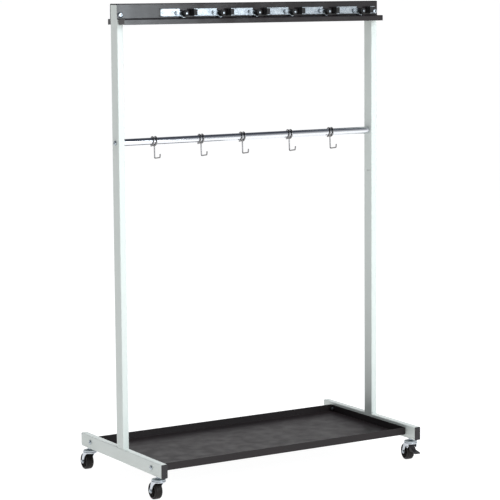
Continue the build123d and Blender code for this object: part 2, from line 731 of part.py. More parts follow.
def stem_nuts():
    """A nut under each foot and one inside its tube."""
    flats, height = STEM_NUT
    with BuildPart() as nuts:
        for low in (RIDE - height, RIDE + TUBE_WALL):
            for name in CASTERS:
                spot = caster_plane(name).origin
                with BuildSketch(Plane.XY.offset(low)):
                    with Locations((spot.X, spot.Y)):
                        RegularPolygon(flats, 6, major_radius=False)
                        Circle(STEM_R + RUN, mode=Mode.SUBTRACT)
                extrude(amount=height)
    save("stem_nuts", nuts.part)


def caster_fork(name):
    """Pressed fork: a round head with a raised race and two curved cheeks."""
    low, high = FORK_PLATE
    has_brake = CASTERS[name][3]
    with BuildPart() as fork:
        with BuildSketch(caster_plane(name).offset(low)):
            Circle(HEAD_R)
        extrude(amount=high - low)
        with BuildSketch(caster_plane(name).offset(high)):
            Circle(RACE_R - 1.0)
        extrude(amount=RACE_TOP - high)
        for side in (-1, 1):
            with BuildSketch(side_plane(name, side * CHEEK_IN)):
                with BuildLine():
                    Line((-13.0, high), (15.0, high))
                    Line((15.0, high), (TRAIL + BOSS_R, WHEEL_R))
                    Line((TRAIL + BOSS_R, WHEEL_R), (TRAIL - BOSS_R, WHEEL_R))
                    ThreePointArc((TRAIL - BOSS_R, WHEEL_R), (4.0, 44.0), (-13.0, low))
                    Line((-13.0, low), (-13.0, high))
                make_face()
                with Locations((TRAIL, WHEEL_R)):
                    Circle(BOSS_R)
                if has_brake:
                    with Locations(PEDAL_PIVOT):
                        Circle(PEDAL_LOBE_R)
                    with Locations((PEDAL_PIVOT[0], (PEDAL_PIVOT[1] + low) / 2)):
                        Rectangle(2 * PEDAL_LOBE_R, low - PEDAL_PIVOT[1])
                    with Locations(PEDAL_PIVOT):
                        Circle(PEDAL_PIN_R + RUN, mode=Mode.SUBTRACT)
                with Locations((TRAIL, WHEEL_R)):
                    Circle(AXLE_R + RUN, mode=Mode.SUBTRACT)
            extrude(amount=side * CHEEK_THICK)
        with BuildSketch(caster_plane(name).offset(low - 5)):
            Circle(STEM_R + RUN)
        extrude(amount=20, mode=Mode.SUBTRACT)
    save(f"fork_{name}", fork.part)


def caster_axle(name):
    """Axle bolt with a head outside one cheek and a nut outside the other."""
    outer = CHEEK_IN + CHEEK_THICK
    with BuildPart() as axle:
        with BuildSketch(side_plane(name, -outer)):
            with Locations((TRAIL, WHEEL_R)):
                Circle(AXLE_R)
        extrude(amount=2 * outer)
        with BuildSketch(side_plane(name, -outer)):
            with Locations((TRAIL, WHEEL_R)):
                Circle(AXLE_HEAD[0])
        extrude(amount=-AXLE_HEAD[1])
        with BuildSketch(side_plane(name, outer)):
            with Locations((TRAIL, WHEEL_R)):
                RegularPolygon(AXLE_NUT[0], 6, major_radius=False)
        extrude(amount=AXLE_NUT[1])
    save(f"axle_{name}", axle.part)


TREAD_ROUND = 4.5            # rounding of a wheel's shoulders
DISH = (18.0, 7.5, 3.0)      # outer radius, inner radius and depth of a wheel's dish
HUB = (6.5, 1.6)             # radius of a wheel's hub, and how far it stands proud


def caster_wheel(name):
    """Wheel with a rounded tread, dished sides and a plain bore."""
    with BuildPart() as wheel:
        with BuildSketch(side_plane(name, 0)):
            with Locations((TRAIL, WHEEL_R)):
                Circle(WHEEL_R)
        extrude(amount=WHEEL_HALF, both=True)
        fillet(wheel.edges().filter_by(GeomType.CIRCLE), TREAD_ROUND)
        for side in (-1, 1):
            with BuildSketch(side_plane(name, side * WHEEL_HALF)):
                with Locations((TRAIL, WHEEL_R)):
                    Circle(DISH[0])
                    Circle(DISH[1], mode=Mode.SUBTRACT)
            extrude(amount=-side * DISH[2], mode=Mode.SUBTRACT)
            with BuildSketch(side_plane(name, side * WHEEL_HALF)):
                with Locations((TRAIL, WHEEL_R)):
                    Circle(HUB[0])
            extrude(amount=side * HUB[1])
        with BuildSketch(side_plane(name, 0)):
            with Locations((TRAIL, WHEEL_R)):
                Circle(AXLE_R + RUN)
        extrude(amount=2 * WHEEL_HALF, both=True, mode=Mode.SUBTRACT)
    save(f"wheel_{name}", wheel.part)


def brake_pedal(name):
    """Foot pedal on trunnions in the cheeks, with a shoe that meets the tyre."""
    arm = [(-3.0, 44.0), (-5.0, 36.0), (-7.5, 31.0), (-12.0, 30.0), (-18.0, 33.5),
           (-27.0, 31.5), (-27.0, 34.5), (-18.0, 37.5), (-9.5, 47.5)]
    tread = [(-24.0, 32.2), (-43.5, 28.6), (-45.0, 29.6), (-45.0, 31.4), (-43.5, 32.4),
             (-24.0, 35.4)]
    with BuildPart() as pedal:
        with BuildSketch(side_plane(name, 0)):
            with BuildLine():
                Polyline(*arm, close=True)
            make_face()
            with Locations(PEDAL_PIVOT):
                Circle(3.5)
        extrude(amount=PEDAL_HALF, both=True)
        with BuildSketch(side_plane(name, 0)):
            with BuildLine():
                Polyline(*tread, close=True)
            make_face()
        extrude(amount=TREAD_HALF, both=True)
        with BuildSketch(side_plane(name, 0)):
            with Locations(PEDAL_PIVOT):
                Circle(PEDAL_PIN_R)
        extrude(amount=CHEEK_IN + CHEEK_THICK, both=True)
    save(f"brake_pedal_{name}", pedal.part)


def main():
    os.makedirs("parts", exist_ok=True)
    for name, side in (("left", -1), ("right", 1)):
        foot_tube(f"{name}_foot_tube", side)
        post(f"{name}_post", side)
    foot_end_caps()
    top_rail()
    rail_bolts()
    rail_nuts()
    hanging_bar()
    bar_end_plugs()
    bar_bolts()
    for index, x in enumerate(HOOK_XS, start=1):
        wire_hook(index, x)
    grip_brackets()
    jaw_pads()
    bracket_rivets()
    lever_pivots()
    for index in range(1, GRIP_COUNT + 1):
        grip_lever(index, PIVOT_XS[index - 1])
        grip_roller(index, ROLLER_XS[index - 1])
    drip_tray()
    tray_bolts()
    tray_spacers()
    tray_nuts()
    caster_stems()
    stem_nuts()
    for name, (_, _, _, has_brake) in CASTERS.items():
        caster_fork(name)
        caster_axle(name)
        caster_wheel(name)
        if has_brake:
            brake_pedal(name)


main()
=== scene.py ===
import bpy
import bmesh
import json
from math import cos, pi, radians, sin
from mathutils import Matrix, Vector


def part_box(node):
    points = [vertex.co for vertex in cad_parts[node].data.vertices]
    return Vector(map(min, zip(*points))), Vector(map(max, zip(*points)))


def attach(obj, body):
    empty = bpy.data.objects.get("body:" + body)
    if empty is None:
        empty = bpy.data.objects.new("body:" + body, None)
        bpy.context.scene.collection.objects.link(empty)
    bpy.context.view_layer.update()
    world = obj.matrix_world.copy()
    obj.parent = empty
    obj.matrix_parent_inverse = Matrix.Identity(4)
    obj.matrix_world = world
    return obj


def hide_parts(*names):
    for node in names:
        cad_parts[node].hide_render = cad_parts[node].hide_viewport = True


# The looks of a wheeled mop and broom rack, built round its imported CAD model.
# Metres, X along the rail, Y to the rear, Z up, the origin on the floor.

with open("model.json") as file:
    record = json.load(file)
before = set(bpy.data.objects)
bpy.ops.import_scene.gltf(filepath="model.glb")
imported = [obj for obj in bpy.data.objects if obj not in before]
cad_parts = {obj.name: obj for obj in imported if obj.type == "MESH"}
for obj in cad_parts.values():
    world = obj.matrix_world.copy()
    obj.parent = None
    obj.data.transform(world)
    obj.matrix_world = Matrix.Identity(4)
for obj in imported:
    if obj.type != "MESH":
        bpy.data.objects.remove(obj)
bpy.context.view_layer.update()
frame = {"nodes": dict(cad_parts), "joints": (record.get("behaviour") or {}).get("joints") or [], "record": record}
NODES = frame["nodes"]

MM = 0.001
GRIPS = range(1, 7)
HOOKS = range(1, 6)
SIDES = ("left", "right")
CASTERS = ("front_left", "front_right", "rear_left", "rear_right")


# --- node helpers ------------------------------------------------------------
def add_node(tree, kind, settings=(), **values):
    """A shader node with its settings and its unlinked inputs filled in."""
    node = tree.nodes.new(kind)
    for key, value in settings:
        setattr(node, key, value)
    for key, value in values.items():
        node.inputs[key].default_value = value
    return node


def new_material(name):
    """A material with one Principled shader, and its object coordinates."""
    material = bpy.data.materials.new(name)
    material.use_nodes = True
    tree = material.node_tree
    tree.nodes.clear()
    shader = tree.nodes.new("ShaderNodeBsdfPrincipled")
    output = tree.nodes.new("ShaderNodeOutputMaterial")
    tree.links.new(shader.outputs[0], output.inputs["Surface"])
    coords = tree.nodes.new("ShaderNodeTexCoord").outputs["Object"]
    return material, tree, shader, coords


def stretched(tree, coords, scale):
    """Coordinates scaled differently along X, Y and Z."""
    node = add_node(tree, "ShaderNodeMapping", Scale=scale)
    tree.links.new(coords, node.inputs["Vector"])
    return node.outputs[0]


def noise(tree, coords, scale, detail=2.0, roughness=0.5):
    """Noise from 0 to 1, with scale features to a metre."""
    node = add_node(tree, "ShaderNodeTexNoise", Scale=scale, Detail=detail, Roughness=roughness)
    tree.links.new(coords, node.inputs["Vector"])
    return node.outputs[0]


def remap(tree, value, old, new):
    """value moved from the range old to the range new, and held inside it."""
    node = tree.nodes.new("ShaderNodeMapRange")
    for index, number in enumerate((*old, *new), start=1):
        node.inputs[index].default_value = number
    tree.links.new(value, node.inputs[0])
    return node.outputs[0]


def mixed(tree, factor, first, second):
    """Two colours, or sockets that give one, mixed by factor."""
    node = add_node(tree, "ShaderNodeMix", [("data_type", "RGBA")])
    tree.links.new(factor, node.inputs["Factor"])
    for socket, colour in ((node.inputs[6], first), (node.inputs[7], second)):
        if isinstance(colour, tuple):
            socket.default_value = (*colour, 1.0)
        else:
            tree.links.new(colour, socket)
    return node.outputs[2]


def bumped(tree, height, strength, distance, normal):
    """A normal pushed about by height; distance is the height in metres."""
    node = add_node(tree, "ShaderNodeBump", Strength=strength, Distance=distance)
    tree.links.new(height, node.inputs["Height"])
    tree.links.new(normal, node.inputs["Normal"])
    return node.outputs[0]


def soft_edge(tree, radius):
    """A rounded normal, and a mask that is 1 on edges and 0 on flat faces."""
    bevel = add_node(tree, "ShaderNodeBevel", [("samples", EDGE_SAMPLES)], Radius=radius)
    true = tree.nodes.new("ShaderNodeNewGeometry").outputs["Normal"]
    dot = add_node(tree, "ShaderNodeVectorMath", [("operation", "DOT_PRODUCT")])
    tree.links.new(bevel.outputs[0], dot.inputs[0])
    tree.links.new(true, dot.inputs[1])
    return bevel.outputs[0], remap(tree, dot.outputs["Value"], EDGE_BEND, (1.0, 0.0))


# --- materials ---------------------------------------------------------------
MID_NOISE = (0.35, 0.65)     # the range that most values of a noise fall in
WIDE_NOISE = (0.3, 0.7)
UNIT = (0.0, 1.0)
EDGE_SAMPLES = 4
EDGE_BEND = (0.80, 0.98)     # cosine between true and rounded normal, edge to flat
PAINT_EDGE = 0.7 * MM        # radii over which edges look rounded
METAL_EDGE = 0.4 * MM
MOULD_EDGE = 0.5 * MM
# near white mixed onto the edges of plated metal: a painted edge highlight
PAINTED_EDGE_GLINT = (0.93, 0.94, 0.95)


def combined(tree, operation, first, second):
    """Two values put through a maths node."""
    node = add_node(tree, "ShaderNodeMath", [("operation", operation)])
    tree.links.new(first, node.inputs[0])
    tree.links.new(second, node.inputs[1])
    return node.outputs[0]


def scratches(tree, coords, strength):
    """Fine lines along the tray and across it, from 0 to strength."""
    lines = [
        noise(tree, stretched(tree, coords, scale), 1.0, 3.0, 0.6)
        for scale in ((14.0, 420.0, 420.0), (380.0, 20.0, 380.0))
    ]
    return remap(tree, combined(tree, "MAXIMUM", *lines), (0.72, 0.82), (0.0, strength))


def powder_coat(name, colour, shade, edge, rough, peel, shine, scuffs=0.0, coat=0.0):
    """Powder coat: orange peel, slow drift of tone, paler on edges, partly a thinner coat there and partly a
    painted edge highlight.
    """
    material, tree, shader, coords = new_material(name)
    drift_scale, fleck_scale, patch_scale, rub_scale = 7.0, 2600.0, 160.0, 24.0
    spread = 0.05            # roughness varies by this much each way
    drift = remap(tree, noise(tree, coords, drift_scale, 3.0), WIDE_NOISE, UNIT)
    tone = mixed(tree, drift, colour, shade)
    fleck = remap(tree, noise(tree, coords, fleck_scale, 1.0), (0.60, 0.75), (0.0, 0.35))
    tone = mixed(tree, fleck, tone, edge)
    normal, on_edge = soft_edge(tree, PAINT_EDGE)
    patchy = remap(tree, noise(tree, coords, patch_scale, 3.0), MID_NOISE, (0.25, 0.9))
    # paler on edges: partly a thinner coat, partly a painted edge highlight
    tone = mixed(tree, combined(tree, "MULTIPLY", on_edge, patchy), tone, edge)
    if scuffs:
        tone = mixed(tree, scratches(tree, coords, scuffs), tone, edge)
    tree.links.new(tone, shader.inputs["Base Color"])
    rub = remap(tree, noise(tree, coords, rub_scale, 4.0), MID_NOISE, (rough - spread, rough + spread))
    tree.links.new(rub, shader.inputs["Roughness"])
    skin = noise(tree, coords, peel, 2.0, 0.45)
    tree.links.new(bumped(tree, skin, 0.16, 0.25 * MM, normal), shader.inputs["Normal"])
    shader.inputs["Specular IOR Level"].default_value = shine
    shader.inputs["Coat Weight"].default_value = coat
    shader.inputs["Coat Roughness"].default_value = 0.18
    return material


def off_bar(tree, coords):
    """0 on the hanging bar and 1 on the hooks, by the distance from the bar's axis."""
    low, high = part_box("hanging_bar")
    middle = (low + high) / 2
    node = add_node(tree, "ShaderNodeMapping", Location=(0.0, -middle.y, -middle.z),
                    Scale=(0.0, 1.0, 1.0))
    tree.links.new(coords, node.inputs["Vector"])
    reach = add_node(tree, "ShaderNodeVectorMath", [("operation", "LENGTH")])
    tree.links.new(node.outputs[0], reach.inputs[0])
    bar = (high.z - low.z) / 2
    return remap(tree, reach.outputs["Value"], (bar + 0.1 * MM, bar + 0.2 * MM), UNIT)


def plated(name, colour, tint, rough, grain, depth, wire=None):
    """Plated metal: fine grain, clouds of tint and a painted highlight on edges; wire is the colour of the hooks.
    """
    material, tree, shader, coords = new_material(name)
    cloud_scale = 55.0
    clouds = remap(tree, noise(tree, coords, cloud_scale, 3.0), WIDE_NOISE, UNIT)
    tone = mixed(tree, clouds, colour, tint)
    normal, on_edge = soft_edge(tree, METAL_EDGE)
    # painted highlight: edges mixed half way to near white
    tone = mixed(tree, remap(tree, on_edge, UNIT, (0.0, 0.5)), tone, PAINTED_EDGE_GLINT)
    if wire is not None:
        tone = mixed(tree, off_bar(tree, coords), tone, wire)
    tree.links.new(tone, shader.inputs["Base Color"])
    lines = noise(tree, stretched(tree, coords, grain), 1.0, 3.0, 0.6)
    tree.links.new(remap(tree, lines, (0.25, 0.75), (rough * 0.7, rough * 1.4)),
                   shader.inputs["Roughness"])
    tree.links.new(bumped(tree, lines, depth, 0.05 * MM, normal), shader.inputs["Normal"])
    shader.inputs["Metallic"].default_value = 1.0
    return material


def moulded(name, colour, worn, rough, grain, depth, shine):
    """Moulded rubber or plastic: fine grain, greyer on edges and where it rubs."""
    material, tree, shader, coords = new_material(name)
    patch_scale = 90.0
    patches = remap(tree, noise(tree, coords, patch_scale, 4.0), (0.40, 0.70), (0.0, 0.55))
    tone = mixed(tree, patches, colour, worn)
    normal, on_edge = soft_edge(tree, MOULD_EDGE)
    tone = mixed(tree, remap(tree, on_edge, UNIT, (0.0, 0.35)), tone, worn)
    tree.links.new(tone, shader.inputs["Base Color"])
    skin = noise(tree, coords, grain, 3.0, 0.6)
    tree.links.new(remap(tree, skin, WIDE_NOISE, (rough - 0.08, rough + 0.10)),
                   shader.inputs["Roughness"])
    tree.links.new(bumped(tree, skin, depth, 0.12 * MM, normal), shader.inputs["Normal"])
    shader.inputs["Specular IOR Level"].default_value = shine
    return material


MATERIALS = {
    "frame_paint": powder_coat("frame_paint", (0.640, 0.684, 0.655), (0.615, 0.662, 0.633),
                               (0.74, 0.77, 0.75), 0.38, 900.0, shine=0.5, coat=0.12),
    "rail_paint": powder_coat("rail_paint", (0.0115, 0.0088, 0.0095), (0.0090, 0.0074, 0.0082),
                              (0.030, 0.027, 0.029), 0.17, 800.0, shine=0.5),
    "tray_paint": powder_coat("tray_paint", (0.0180, 0.0142, 0.0148), (0.0150, 0.0122, 0.0128),
                              (0.040, 0.035, 0.035), 0.44, 700.0, shine=0.20, scuffs=0.05),
    "chrome": plated("chrome", (0.80, 0.81, 0.84), (0.76, 0.78, 0.82), 0.09,
                     (30.0, 900.0, 900.0), 0.05, wire=(0.24, 0.235, 0.235)),
    "bright_zinc": plated("bright_zinc", (0.47, 0.51, 0.54), (0.34, 0.38, 0.42), 0.25,
                          (260.0, 900.0, 900.0), 0.25),
    "caster_steel": plated("caster_steel", (0.60, 0.63, 0.67), (0.46, 0.49, 0.53), 0.24,
                           (900.0, 260.0, 900.0), 0.25),
    "rubber": moulded("rubber", (0.010, 0.010, 0.011), (0.028, 0.027, 0.027), 0.58, 1800.0,
                      0.30, shine=0.3),
    "black_plastic": moulded("black_plastic", (0.019, 0.0168, 0.018), (0.030, 0.028, 0.030),
                             0.45, 2400.0, 0.25, shine=0.3),
    "wheel_black": moulded("wheel_black", (0.008, 0.0065, 0.0058), (0.020, 0.0165, 0.015),
                           0.46, 1400.0, 0.22, shine=0.2),
}


def dress_cad():
    """Give every CAD node the material of its slot in the record."""
    for row in frame["record"]["subparts"]:
        mesh = NODES[row["node"]].data
        mesh.materials.clear()
        mesh.materials.append(MATERIALS[row["material_slot"]])


# --- mesh helpers ------------------------------------------------------------
def finish_piece(name, mesh_code, slot, body, replaced=(), smooth_deg=35.0):
    """Turn a bmesh into a piece with its material, its body and its CAD node."""
    bmesh.ops.recalc_face_normals(mesh_code, faces=mesh_code.faces)
    mesh = bpy.data.meshes.new(name)
    mesh_code.to_mesh(mesh)
    mesh_code.free()
    mesh.materials.append(MATERIALS[slot])
    for polygon in mesh.polygons:
        polygon.use_smooth = True
    mesh.set_sharp_from_angle(angle=radians(smooth_deg))
    piece = bpy.data.objects.new(name, mesh)
    bpy.context.scene.collection.objects.link(piece)
    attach(piece, body)
    if replaced:
        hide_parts(*replaced)


def bridge(target, first, second):
    """Faces from each side of one closed ring to the same side of the next."""
    for k in range(len(first)):
        n = (k + 1) % len(first)
        target.faces.new((first[k], first[n], second[n], second[k]))


def closed_skin(target, rings):
    """Faces from ring to ring, and from the last back to the first."""
    for i, ring in enumerate(rings):
        bridge(target, ring, rings[(i + 1) % len(rings)])


def capped_skin(target, rings):
    """Faces from ring to ring, with a flat end on the first and the last."""
    for first, second in zip(rings, rings[1:]):
        bridge(target, first, second)
    target.faces.new(rings[0])
    target.faces.new(list(reversed(rings[-1])))


def turned(target, profile, place, steps):
    """Spin a closed profile of (radius, height) round the Z axis of place."""
    rings = []
    for radius, height in profile:
        ring = []
        for k in range(steps):
            turn = 2 * pi * k / steps
            point = Vector((radius * cos(turn), radius * sin(turn), height))
            ring.append(target.verts.new(place @ point))
        rings.append(ring)
    closed_skin(target, rings)


def arc(centre, radius, start_deg, end_deg, count):
    """Points (radius, height) on an arc, from one angle to another."""
    return [
        (
            centre[0] + radius * cos(radians(start_deg + (end_deg - start_deg) * k / count)),
            centre[1] + radius * sin(radians(start_deg + (end_deg - start_deg) * k / count)),
        )
        for k in range(count + 1)
    ]


def centre_of(node):
    """Middle of a CAD node's box."""
    low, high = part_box(node)
    return (low + high) / 2


def along(direction):
    """A turn that lays the Z axis along direction."""
    return direction.to_track_quat("Z", "Y").to_matrix().to_4x4()


# --- wheels ------------------------------------------------------------------
WHEEL_R = 25.0 * MM
WHEEL_HALF = 11.5 * MM
HUB_R = 6.5 * MM
BORE_R = 3.05 * MM
DISH_R = 18.0 * MM
DISH_DEPTH = 3.0 * MM
HUB_PROUD = 1.4 * MM
HUB_ROUND = 0.6 * MM
CROWN = 4.5 * MM             # rounding of the tread's shoulders
CROWN_END_DEG = 12
GROOVE_DEPTH = 0.35 * MM
GROOVE_PLACES = (3.6 * MM, 1.8 * MM)
RIB_COUNT = 8
RIB_HALVES = (0.55 * MM, 0.9 * MM)    # half the width of a rib at its top and its foot
RIB_BELOW = 0.7 * MM         # top of a rib, below the side of the wheel
WHEEL_STEPS = 96


def wheel_profile():
    """Half section of a wheel: bore, hub, dish, rim and a crowned, grooved tread."""
    half = WHEEL_HALF
    hub = half + HUB_PROUD
    floor = half - DISH_DEPTH
    upper = [(BORE_R, hub - 0.4 * MM), (BORE_R + 0.4 * MM, hub), (HUB_R - HUB_ROUND, hub)]
    upper += arc((HUB_R - HUB_ROUND, hub - HUB_ROUND), HUB_ROUND, 90, 0, 3)[1:]
    upper += [(HUB_R + 0.3 * MM, floor + 0.5 * MM), (HUB_R + 0.9 * MM, floor)]
    upper += [(DISH_R - 1.2 * MM, floor), (DISH_R - 0.3 * MM, floor + 0.6 * MM)]
    upper += [(DISH_R + 0.1 * MM, half - 0.5 * MM), (DISH_R + 0.7 * MM, half)]
    upper += arc((WHEEL_R - CROWN, half - CROWN), CROWN, 90, CROWN_END_DEG, 8)
    for place in GROOVE_PLACES:
        depth = WHEEL_R - GROOVE_DEPTH
        upper += [(WHEEL_R - 0.05 * MM, place + 0.5 * MM), (depth, place + 0.2 * MM)]
        upper += [(depth, place - 0.2 * MM), (WHEEL_R, place - 0.5 * MM)]
    lower = [(radius, -height) for radius, height in reversed(upper)]
    return upper + lower


def wheel_ribs(target, place):
    """Radial ribs in the dish on both sides of a wheel."""
    inner, outer = HUB_R - 0.2 * MM, DISH_R + 0.3 * MM
    top, foot = RIB_HALVES
    sides = ((0, 1, 2, 3), (4, 7, 6, 5), (0, 4, 5, 1), (1, 5, 6, 2), (2, 6, 7, 3), (3, 7, 4, 0))
    for side in (-1, 1):
        floor = side * (WHEEL_HALF - DISH_DEPTH - 0.3 * MM)
        peak = side * (WHEEL_HALF - RIB_BELOW)
        for k in range(RIB_COUNT):
            turn = place @ Matrix.Rotation(2 * pi * (k + 0.5) / RIB_COUNT, 4, "Z")
            corners = [
                turn @ Vector((reach, half, height))
                for reach in (inner, outer)
                for half, height in ((-foot, floor), (foot, floor), (top, peak), (-top, peak))
            ]
            points = [target.verts.new(corner) for corner in corners]
            for face in sides:
                target.faces.new([points[i] for i in face])


def axle_direction(name):
    """Unit vector along a wheel's axle, from its joint."""
    joint = next(j for j in frame["joints"] if j["name"] == f"wheel_{name}_spin")
    return Vector(joint["axis"]).normalized()


def make_wheels():
    """A tyre with ribs in place of each plain wheel."""
    for name in CASTERS:
        place = Matrix.Translation(centre_of(f"wheel_{name}")) @ along(axle_direction(name))
        made = bmesh.new()
        turned(made, wheel_profile(), place, WHEEL_STEPS)
        wheel_ribs(made, place)
        finish_piece(f"tyre_{name}", made, "wheel_black", f"wheel_{name}", [f"wheel_{name}"])


# --- grip rollers ------------------------------------------------------------
ROLLER_R = 9.0 * MM
ROLLER_BORE = 2.55 * MM
FLUTES = 20
FLUTE_DEPTH = 0.55 * MM
STEPS_PER_FLUTE = 8
SHOULDER = 1.8 * MM          # rounding of a roller's ends
SHOULDER_STEPS = 6
RECESS_WIDTH = 1.6 * MM      # round the pin
RECESS_DEPTHS = (1.0 * MM, 0.4 * MM)


def flute(turn):
    """Depth of the flutes at an angle round the roller."""
    wave = 0.5 + 0.5 * cos(FLUTES * turn)
    return FLUTE_DEPTH * (1 - wave ** 0.5)


def roller_profile(half):
    """Section as (radius, height, share of the flutes), closed through the bore."""
    deep, shallow = RECESS_DEPTHS
    profile = [(ROLLER_BORE, -half + deep, 0.0), (ROLLER_BORE + RECESS_WIDTH, -half + shallow, 0.0)]
    for k in range(SHOULDER_STEPS + 1):
        turn = radians(90 * k / SHOULDER_STEPS)
        drop = SHOULDER * (1 - sin(turn))
        profile.append((ROLLER_R - drop, -half + SHOULDER * (1 - cos(turn)), sin(turn)))
    return [*profile, *[(r, -h, share) for r, h, share in reversed(profile)]]


def make_rollers():
    """Fluted rubber rollers with rounded shoulders and a recess round the pin."""
    steps = FLUTES * STEPS_PER_FLUTE
    for index in GRIPS:
        node = f"grip_roller_{index}"
        low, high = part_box(node)
        place = Matrix.Translation(centre_of(node)) @ along(Vector((0, -1, 0)))
        made = bmesh.new()
        rings = []
        for radius, height, share in roller_profile((high.y - low.y) / 2):
            ring = []
            for k in range(steps):
                turn = 2 * pi * k / steps
                reach = radius - flute(turn) * share
                point = Vector((reach * cos(turn), reach * sin(turn), height))
                ring.append(made.verts.new(place @ point))
            rings.append(ring)
        closed_skin(made, rings)
        finish_piece(f"roller_rubber_{index}", made, "rubber", node, [node], smooth_deg=50)


# --- end caps of the feet ----------------------------------------------------
def rounded_outline(half_x, half_z, corner, count=5):
    """Points round a rectangle with round corners, about the origin."""
    points = []
    for cx, cz, start in ((1, 1, 0), (-1, 1, 90), (-1, -1, 180), (1, -1, 270)):
        for px, pz in arc((cx * (half_x - corner), cz * (half_z - corner)), corner,
                          start, start + 90, count):
            points.append((px, pz))
    return points


CAP_THICK = 1.2 * MM
CAP_CORNER = 2.5 * MM
CAP_LEAST_CORNER = 0.4 * MM
FOOT_HALF_WIDTH = 10.0 * MM
# how far each ring is inside the outline in millimetres, and its share of the thickness
CAP_RINGS = ((0.0, 0.0), (0.0, 0.60), (0.35, 0.84), (1.1, 0.94), (2.2, 0.96), (2.5, 0.85),
             (3.0, 0.85), (3.4, 0.96), (5.5, 0.99), (8.0, 1.0))


def make_end_caps():
    """A crowned plastic cap on each end of each foot, with a fine step round it."""
    low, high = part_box("foot_end_caps")
    half_x = FOOT_HALF_WIDTH
    half_z = (high.z - low.z) / 2
    middle_z = (high.z + low.z) / 2
    made = bmesh.new()
    for side in (-1, 1):
        for end in (-1, 1):
            centre = Vector((side * (high.x - half_x), end * (high.y - CAP_THICK), middle_z))
            loops = []
            for inset_mm, share in CAP_RINGS:
                inset = inset_mm * MM
                corner = max(CAP_CORNER - inset, CAP_LEAST_CORNER)
                outline = rounded_outline(half_x - inset, half_z - inset, corner)
                reach = end * share * CAP_THICK
                loops.append([made.verts.new(centre + Vector((x, reach, z))) for x, z in outline])
            for first, second in zip(loops, loops[1:]):
                bridge(made, first, second)
            made.faces.new(loops[0])
            made.faces.new(loops[-1])
    finish_piece("foot_caps_moulded", made, "black_plastic", "frame", ["foot_end_caps"])


# --- welds -------------------------------------------------------------------
BEAD_SWEEP = 7               # faces across a bead
STEPS_PER_RIPPLE = 6
BEAD_SWELL = 0.10            # of a ripple, as a share of the bead's size
BEAD_FULLNESS = 0.93
BEAD_START = 0.35            # size of a bead at its ends, as a share
POST_BEAD = 3.2 * MM
POST_BEAD_INSET = 1.5 * MM
POST_RIPPLES = 9
TRAY_SHEET = 1.5 * MM
TRAY_BEAD = 2.2 * MM
TRAY_RIPPLES = 10


def weld_bead(target, start, end, up, out, size, ripples):
    """A rippled fillet bead from start to end, in the corner between up and out."""
    count = ripples * STEPS_PER_RIPPLE
    rows = []
    for k in range(count + 1):
        share = k / count
        swell = 1 + BEAD_SWELL * abs(sin(pi * ripples * share))
        taper = min(1.0, 5 * share + BEAD_START, 5 * (1 - share) + BEAD_START)
        spot = start.lerp(end, share)
        row = [target.verts.new(spot)]
        for j in range(BEAD_SWEEP + 1):
            turn = pi / 2 * j / BEAD_SWEEP
            bulge = size * taper * (swell if 0 < j < BEAD_SWEEP else 1.0) * BEAD_FULLNESS
            row.append(target.verts.new(spot + out * bulge * cos(turn) + up * bulge * sin(turn)))
        rows.append(row)
    capped_skin(target, rows)


def make_post_welds():
    """Beads in front of and behind each post, where it stands on its foot."""
    made = bmesh.new()
    for side in SIDES:
        low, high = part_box(f"{side}_post")
        for y, out in ((low.y, -1), (high.y, 1)):
            start = Vector((low.x + POST_BEAD_INSET, y, low.z))
            end = Vector((high.x - POST_BEAD_INSET, y, low.z))
            weld_bead(made, start, end, Vector((0, 0, 1)), Vector((0, out, 0)), POST_BEAD, POST_RIPPLES)
    finish_piece("post_welds", made, "frame_paint", "frame")


def make_tray_welds():
    """Upright beads inside the four corners of the tray."""
    low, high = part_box("drip_tray")
    made = bmesh.new()
    for sx in (-1, 1):
        for sy in (-1, 1):
            corner = Vector((sx * (high.x - TRAY_SHEET), sy * (high.y - TRAY_SHEET), 0))
            start = corner + Vector((0, 0, low.z + TRAY_SHEET))
            end = corner + Vector((0, 0, high.z - TRAY_SHEET))
            weld_bead(made, start, end, Vector((-sx, 0, 0)), Vector((0, -sy, 0)), TRAY_BEAD, TRAY_RIPPLES)
    finish_piece("tray_corner_welds", made, "tray_paint", "frame")


# --- hook tips and threads ---------------------------------------------------
WIRE_R = 2.0 * MM
TIP_LEAN = 1.5
TIP_RISE = 9.0
TIP_SEARCH = 2.6 * WIRE_R    # corners this near the foremost one are on the tip
RIM_SLACK = 0.02 * MM
TIP_FIT = 0.98               # a tip's radius, as a share of its wire's
BOLT_R = 4.0 * MM
BOLT_PITCH = 1.0 * MM
NUT_CORNER_R = 7.5055 * MM   # middle of a nut to its corner, 13 mm across flats
THREAD_STEPS = 28
THREAD_SECTION = ((-0.15, -0.42), (0.24, 0.0), (-0.15, 0.42))    # reach and shift, in pitches
THREAD_START = 0.4 * MM      # from the nut
THREAD_SHORT = 0.9 * MM      # thread ends this far inside the bolt's length past the nut


def dome(target, place, radius, steps=24, rows=6):
    """A half ball on the Z axis of place, closed by a flat face."""
    rings = []
    for j in range(rows):
        turn = pi / 2 * j / rows
        ring = [
            target.verts.new(place @ Vector((
                radius * cos(turn) * cos(2 * pi * k / steps),
                radius * cos(turn) * sin(2 * pi * k / steps),
                radius * sin(turn),
            )))
            for k in range(steps)
        ]
        rings.append(ring)
    for first, second in zip(rings, rings[1:]):
        bridge(target, first, second)
    peak = target.verts.new(place @ Vector((0, 0, radius)))
    for k in range(steps):
        target.faces.new((rings[-1][k], rings[-1][(k + 1) % steps], peak))
    target.faces.new(list(reversed(rings[0])))


def wire_end(node, lean):
    """Middle of the flat end of a hook's wire, found from its foremost corners."""
    points = [v.co for v in NODES[node].data.vertices]
    foremost = min(points, key=lambda p: p.y)
    tip = [
        p for p in points
        if (p - foremost).length < TIP_SEARCH and p.y < foremost.y + WIRE_R * 3
    ]
    top = max(p.dot(lean) for p in tip)
    rim = [p for p in tip if p.dot(lean) > top - RIM_SLACK]
    return sum(rim, Vector()) / len(rim)


